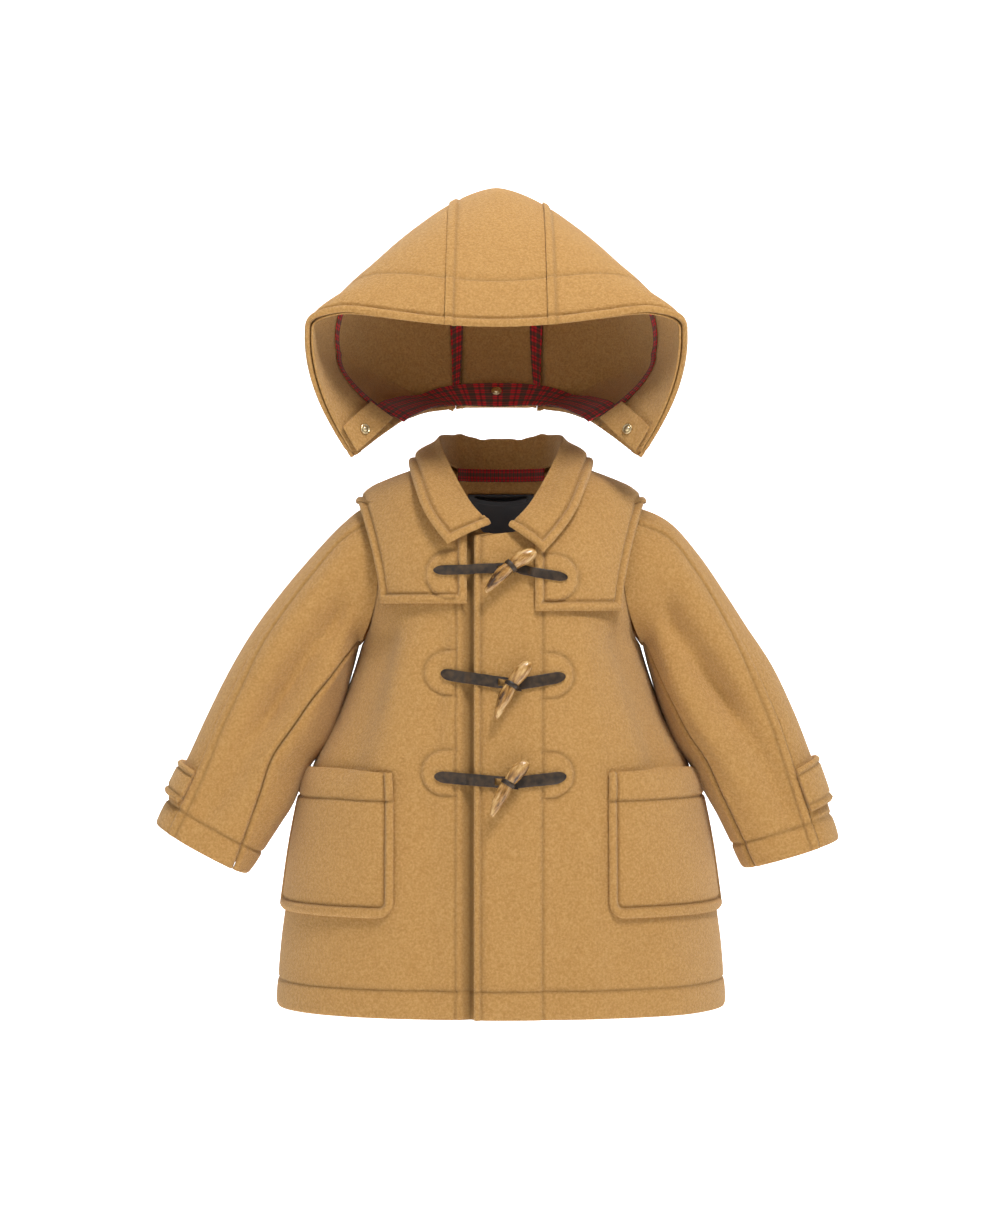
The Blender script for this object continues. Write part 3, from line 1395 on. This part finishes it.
gloss = put(leather, "ShaderNodeMapRange", {0: wear.outputs["Fac"], 1: 0.3, 2: 0.7, 3: 0.34, 4: 0.52})
leather.node_tree.links.new(gloss.outputs[0], finish.inputs["Roughness"])

# Polished horn: fibres along the toggle, from honey to dark brown, darkest at the tip and along one side.
horn = bpy.data.materials.new("polished buffalo horn, streaked")
horn.use_nodes = True
finish = horn.node_tree.nodes["Principled BSDF"]
grain = put(horn, "ShaderNodeAttribute", attribute_name="grain")
long = put(horn, "ShaderNodeMapping", {"Vector": grain.outputs["Vector"], "Scale": (70.0, 70.0, 16.0)})
drawn = long.outputs["Vector"]
fibres = put(horn, "ShaderNodeTexNoise", {"Vector": drawn, "Scale": 5.0, "Detail": 6.0, "Roughness": 0.65})
bands = put(horn, "ShaderNodeTexNoise", {"Vector": drawn, "Scale": 1.1, "Detail": 2.0})
mixed = put(horn, "ShaderNodeMath", {0: fibres.outputs["Fac"], 1: bands.outputs["Fac"]}, operation="ADD")
streak = put(horn, "ShaderNodeMapRange", {0: mixed.outputs[0], 1: 0.8, 2: 1.22})
ramp = put(horn, "ShaderNodeValToRGB", {"Fac": streak.outputs[0]})
ramp.color_ramp.elements[0].color = linear("#432B14")
ramp.color_ramp.elements[1].color = linear("#D6B279")
honey = ramp.color_ramp.elements.new(0.45)
honey.color = linear("#A2763E")
horn.node_tree.links.new(ramp.outputs["Color"], finish.inputs["Base Color"])
bump = put(horn, "ShaderNodeBump", {"Height": fibres.outputs["Fac"], "Strength": 0.12, "Distance": 0.0003})
horn.node_tree.links.new(bump.outputs["Normal"], finish.inputs["Normal"])
finish.inputs["Roughness"].default_value = 0.24
finish.inputs["Subsurface Weight"].default_value = 0.08
finish.inputs["Subsurface Radius"].default_value = (0.003, 0.0016, 0.0008)
finish.inputs["Coat Weight"].default_value = 0.15

# Each closure: the toggle's tip and top, where its strap grips it, the two straps' outer tips and half
# their width, and whether the outer ends lie on the storm flap.
TOGGLES = [
    SimpleNamespace(tip=tip, top=top, grip=0.56, loop=loop, tab=tab, half=half, flap=flap)
    for tip, top, loop, tab, half, flap in (
        ((-15, -100), (26, -65.5), (-55, -82), (54, -88), 3.9, True),
        ((-7, -202), (20.5, -156.5), (-50, -166.5), (52, -169), 4.8, False),
        ((-10.5, -281), (18.5, -236), (-54, -250), (53, -250), 4.8, False),
    )
]
LEATHER = SimpleNamespace(thick=1.8, strand=2, point=9, loop_reach=13, post=2.6)
GRIP = SimpleNamespace(radius=4.7, gap=0.35, thick=1.2, width=4)
FLATTEN = 0.88
LOOP_TOP = 2 * (LEATHER.thick + GAP)
HORN_AXIS = LOOP_TOP + 0.4 + GRIP.thick + GRIP.gap + GRIP.radius * FLATTEN


def front_cloth(x, z, flapped):
    """A point of the cloth in front, with its normal: the flap past its inner edge, else the front."""
    sign = -1 if x < 0 else 1
    step = (WOOL_THICK + GAP) * smooth(x, -OVERLAP - 8, -OVERLAP - 0.5)
    point, normal = on_body(sign * angle_of(abs(x), z), z, step if x < 0 else overlap_lift(x))
    if not flapped:
        return point, normal
    angle = sign * flap_angle(abs(x), z, "front")
    flap_normal = normal_at(flap_point, angle, z, 0.01, 0.5, Vector((0, 0, z - 40)))
    share = smooth(abs(x), FLAP.inner - 9, FLAP.inner - 1)
    return point.lerp(flap_point(angle, z), share), normal.lerp(flap_normal, share).normalized()


def grip_of(t):
    return lerp(t.tip[0], t.top[0], t.grip), lerp(t.tip[1], t.top[1], t.grip)


def strap_point(t, x, across, tip, end_x, raised):
    z = lerp(tip[1], grip_of(t)[1], (x - tip[0]) / (end_x - tip[0])) + across
    point, normal = front_cloth(x, z, t.flap)
    return point + normal * (GAP + LEATHER.thick + raised)


def pointed_half(t, x, tip_x):
    share = min(abs(x - tip_x) / LEATHER.point, 1)
    return t.half * max(0.16, sqrt(1 - (1 - share) ** 2))


def loop_patches(t):
    grip_x = grip_of(t)[0]
    end, fork = grip_x + LEATHER.loop_reach - 5, grip_x - LEATHER.loop_reach + 2
    inner = (t.half - LEATHER.strand) / t.half

    def strip(low, high):
        def place(x, share):
            raised = (LEATHER.thick + GAP) * smooth(x, grip_x - 14, grip_x - 4)
            across = lerp(low, high, share) * pointed_half(t, x, t.loop[0])
            return strap_point(t, x, across, t.loop, end, raised), 0, 0
        return place

    tail = [t.loop[0] + x for x in (0, 0.8, 2, 3.5, 5, 7, 10)] + lines((t.loop[0] + 12, fork, 2))
    tail = [x for x in tail if x < fork - 0.5] + [fork]
    split = lines((fork, end - 2.4, 1.6))
    close = [end - 2.4, end - 1.2, end]
    low, mid, top = (-1, -inner), (-inner, inner), (inner, 1)
    return [
        *[(xs, steps(0, 1, 4), strip(*lane)) for lane in (low, mid, top) for xs in (tail, close)],
        (split, steps(0, 1, 4), strip(*low)), (split, steps(0, 1, 4), strip(*top)),
    ]


def toggle_frame(t):
    """Where the toggle's tip is, the turn that takes Z along it, its middle and the cloth under it."""
    x, z = grip_of(t)
    foot, normal = front_cloth(x, z, t.flap and abs(x) > FLAP.inner)
    along = Vector((t.top[0] - t.tip[0], 0, t.top[1] - t.tip[1]))
    along = (along - normal * along.dot(normal)).normalized()
    side = along.cross(normal).normalized()
    turn = Matrix((side, along.cross(side), along)).transposed()
    middle = foot + normal * HORN_AXIS
    return middle - along * HORN_LENGTH * t.grip, turn, middle, foot, normal


def drawn_out(name, section, sides):
    """A round form on the Z axis: a disc, drawn out and resized to each (radius, height, shift) in mm."""
    bpy.ops.object.select_all(action="DESELECT")
    radius, height, shift = section[0]
    bpy.ops.mesh.primitive_circle_add(
        vertices=sides, radius=radius * MM, fill_type="NGON", location=(shift * MM, 0, height * MM)
    )
    piece = bpy.context.object
    piece.name = name
    bpy.ops.object.transform_apply(location=True, rotation=False, scale=False)
    bpy.ops.object.mode_set(mode="EDIT")
    bpy.ops.mesh.select_all(action="SELECT")
    for next_radius, next_height, next_shift in section[1:]:
        step = ((next_shift - shift) * MM, 0, (next_height - height) * MM)
        bpy.ops.mesh.extrude_region_move(TRANSFORM_OT_translate={"value": step})
        wider = next_radius / radius
        centre = (next_shift * MM, 0, next_height * MM)
        bpy.ops.transform.resize(value=(wider, wider, 1), center_override=centre)
        radius, height, shift = next_radius, next_height, next_shift
    bpy.ops.mesh.select_all(action="SELECT")
    bpy.ops.mesh.normals_make_consistent(inside=False)
    bpy.ops.object.mode_set(mode="OBJECT")
    bpy.ops.object.shade_smooth_by_angle(angle=radians(40))
    return piece


def copy_of(pattern, name):
    """A copy with a mesh of its own, alone selected."""
    bpy.ops.object.select_all(action="DESELECT")
    pattern.select_set(True)
    bpy.context.view_layer.objects.active = pattern
    bpy.ops.object.duplicate(linked=False)
    piece = bpy.context.object
    piece.name = name
    return piece


def seat_piece(piece, origin, turn, flat=1.0):
    """Moves a piece from the world's middle to its place, given in mm, and keeps the place in its mesh."""
    bpy.ops.object.select_all(action="DESELECT")
    piece.select_set(True)
    bpy.context.view_layer.objects.active = piece
    piece.matrix_world = Matrix.Translation(origin * MM) @ turn.to_4x4() @ Matrix.Diagonal((1, flat, 1, 1))
    bpy.ops.object.transform_apply(location=True, rotation=True, scale=True)


def keep_grain(piece, offset):
    """Stores where each point lies in the horn that the piece is cut from, for its streaks."""
    grain = piece.data.attributes.new("grain", "FLOAT_VECTOR", "POINT")
    for point, place in zip(piece.data.vertices, grain.data):
        place.vector = point.co + Vector((0, 0, offset))


def turn_up(direction):
    return Vector((0, 0, 1)).rotation_difference(direction).to_matrix()


HORN_LENGTH = 53.4
HORN_BEND = -3.2
horn_profile = curves("radius", [
    (0, 1.6), (0.05, 2.6), (0.2, 4.4), (0.36, 5.6), (0.47, 5.2),
    (0.56, 4.7), (0.66, 5.4), (0.8, 6.2), (0.93, 4.8), (1, 2.6),
])
horn_section = [
    (
        horn_profile.radius(at) * rounding,
        HORN_LENGTH * at,
        HORN_BEND * (sin(pi * at) - sin(pi * TOGGLES[0].grip)),
    )
    for at, rounding in [
        (0, 0.35), (0.004, 0.75), (0.012, 0.95), *[(at, 1) for at in lines((0.03, 0.97, 0.03))],
        (0.984, 0.95), (0.994, 0.75), (1, 0.4),
    ]
]
horn_pattern = drawn_out("horn_pattern", horn_section, 32)

grip_width = GRIP.width / GRIP.thick
bpy.ops.object.select_all(action="DESELECT")
bpy.ops.mesh.primitive_torus_add(
    major_radius=(GRIP.radius + GRIP.gap + GRIP.thick / 2) * MM, minor_radius=GRIP.thick / 2 * MM,
    major_segments=36, minor_segments=10,
)
grip_pattern = bpy.context.object
grip_pattern.name = "grip_pattern"
bpy.ops.object.mode_set(mode="EDIT")
bpy.ops.mesh.select_all(action="SELECT")
bpy.ops.transform.resize(value=(1, 1, grip_width), center_override=(0, 0, 0))
bpy.ops.object.mode_set(mode="OBJECT")
bpy.ops.object.shade_smooth()

post_low, post_high = LEATHER.thick * 0.5 + GAP, LOOP_TOP + 0.9
post_section = [(1.5, post_low, 0), (1.3, (post_low + post_high) / 2, 0), (1.6, post_high, 0)]

for number, t in enumerate(TOGGLES, 1):
    piece = laid(f"loop_strap_{number}", loop_patches(t), LEATHER.thick, (0, 0, t.loop[1]), bevel=0.35)
    mount(piece, f"loop_tab_{number}", leather)

    tip, turn, middle, foot, normal = toggle_frame(t)
    end = grip_of(t)[0] - LEATHER.post / 2

    def tab_strap(x, share):
        narrow = lerp(0.36, 1, smooth(x, grip_of(t)[0] + 1, grip_of(t)[0] + 9))
        half = min(pointed_half(t, x, t.tab[0]), t.half * narrow)
        return strap_point(t, x, lerp(-half, half, share), t.tab, end, 0), 0, 0

    tail = [t.tab[0] - x for x in (0, 0.8, 2, 3.5, 5, 7, 10)] + lines((t.tab[0] - 12, end, 2))
    patch = (tail, steps(0, 1, 6), tab_strap)
    strap = laid(f"toggle_strap_{number}", [patch], LEATHER.thick, (0, 0, t.tab[1]), bevel=0.35)
    ring = copy_of(grip_pattern, f"grip_{number}")
    seat_piece(ring, middle, turn, FLATTEN)
    post = drawn_out(f"post_{number}", post_section, 12)
    seat_piece(post, foot, turn_up(normal))
    bpy.ops.object.select_all(action="DESELECT")
    for part in (ring, post, strap):
        part.select_set(True)
    bpy.context.view_layer.objects.active = strap
    bpy.ops.object.join()
    mount(strap, f"toggle_tab_{number}", leather)

    toggle = copy_of(horn_pattern, f"horn_toggle_{number}")
    keep_grain(toggle, 0.07 * number)
    seat_piece(toggle, tip, turn, FLATTEN)
    mount(toggle, f"toggle_{number}", horn)

for pattern in (horn_pattern, grip_pattern):
    bpy.data.objects.remove(pattern)

# Cuff buttons and snaps
# The cuff buttons are turned from the same horn, with a raised rim and four holes sewn through. The hood's
# snaps are pressed in pale gold-coloured metal, each a low dome in a flat ring.
button_section = [
    (6, 0, 0), (7.1, 0.7, 0), (7.5, 1.7, 0), (7.3, 2.6, 0), (6.8, 3.1, 0), (6.2, 3.15, 0), (5.6, 2.7, 0),
    (5, 2.45, 0), (4.4, 2.4, 0),
]
button_pattern = drawn_out("button_pattern", button_section, 48)
for x, y in ((1.7, 1.7), (1.7, -1.7), (-1.7, 1.7), (-1.7, -1.7)):
    bpy.ops.object.select_all(action="DESELECT")
    place = (x * MM, y * MM, 1.5 * MM)
    bpy.ops.mesh.primitive_cylinder_add(vertices=16, radius=0.8 * MM, depth=6 * MM, location=place)
    drill = bpy.context.object
    bpy.context.view_layer.objects.active = button_pattern
    hole = button_pattern.modifiers.new("hole", "BOOLEAN")
    hole.operation = "DIFFERENCE"
    hole.object = drill
    bpy.ops.object.modifier_apply(modifier="hole")
    bpy.data.objects.remove(drill)

for side, sign in (("right", -1), ("left", 1)):
    at = (STRAP.near + STRAP.far) / 2
    seat, normal = on_sleeve(sign, at, STRAP.stop + STRAP.point, STRAP.thick + 2 * GAP + 0.1)
    button = copy_of(button_pattern, f"cuff_button_{side}_horn")
    keep_grain(button, 0.3 + 0.05 * sign)
    seat_piece(button, seat, turn_up(normal))
    mount(button, f"cuff_button_{side}", horn)

bpy.data.objects.remove(button_pattern)

snap_metal = bpy.data.materials.new("pale gold plated brass, brushed by wear")
snap_metal.use_nodes = True
finish = snap_metal.node_tree.nodes["Principled BSDF"]
place = put(snap_metal, "ShaderNodeTexCoord")
worn = {"Vector": place.outputs["Object"], "Scale": 900.0, "Detail": 3.0}
rub = put(snap_metal, "ShaderNodeTexNoise", worn)
ramp = put(snap_metal, "ShaderNodeValToRGB", {"Fac": rub.outputs["Fac"]})
ramp.color_ramp.elements[0].color = linear("#B9A06E")
ramp.color_ramp.elements[1].color = linear("#E8DAB6")
snap_metal.node_tree.links.new(ramp.outputs["Color"], finish.inputs["Base Color"])
dull = put(snap_metal, "ShaderNodeMapRange", {0: rub.outputs["Fac"], 1: 0.3, 2: 0.7, 3: 0.28, 4: 0.45})
snap_metal.node_tree.links.new(dull.outputs[0], finish.inputs["Roughness"])
finish.inputs["Metallic"].default_value = 1

snap_section = [
    (4.5, 0, 0), (4.5, 0.9, 0), (4.2, 1.3, 0), (3.6, 1.45, 0), (3.1, 1.2, 0), (2.7, 1.2, 0), (2.4, 1.7, 0),
    (1.7, 2.2, 0), (0.9, 2.38, 0),
]
snap_pattern = drawn_out("snap_pattern", snap_section, 32)
snap_seats = {}
for side, sign in (("right", -1), ("left", 1)):
    snap_seats[side] = on_hood(0.85, 1.89, sign, TAPE_LIFT - 3 * GAP - COTTON_THICK - 1.8)
edge, up, normal = neck_edge(HOOD_LAST, 1, 1)
snap_seats["middle"] = (edge + up * BAND.height * 0.55 + normal * (BAND.lift - BAND.thick - GAP), normal)
for side, (seat, normal) in snap_seats.items():
    snap = copy_of(snap_pattern, f"snap_{side}_metal")
    seat_piece(snap, seat, turn_up(-normal))
    mount(snap, f"snap_{side}", snap_metal)

bpy.data.objects.remove(snap_pattern)
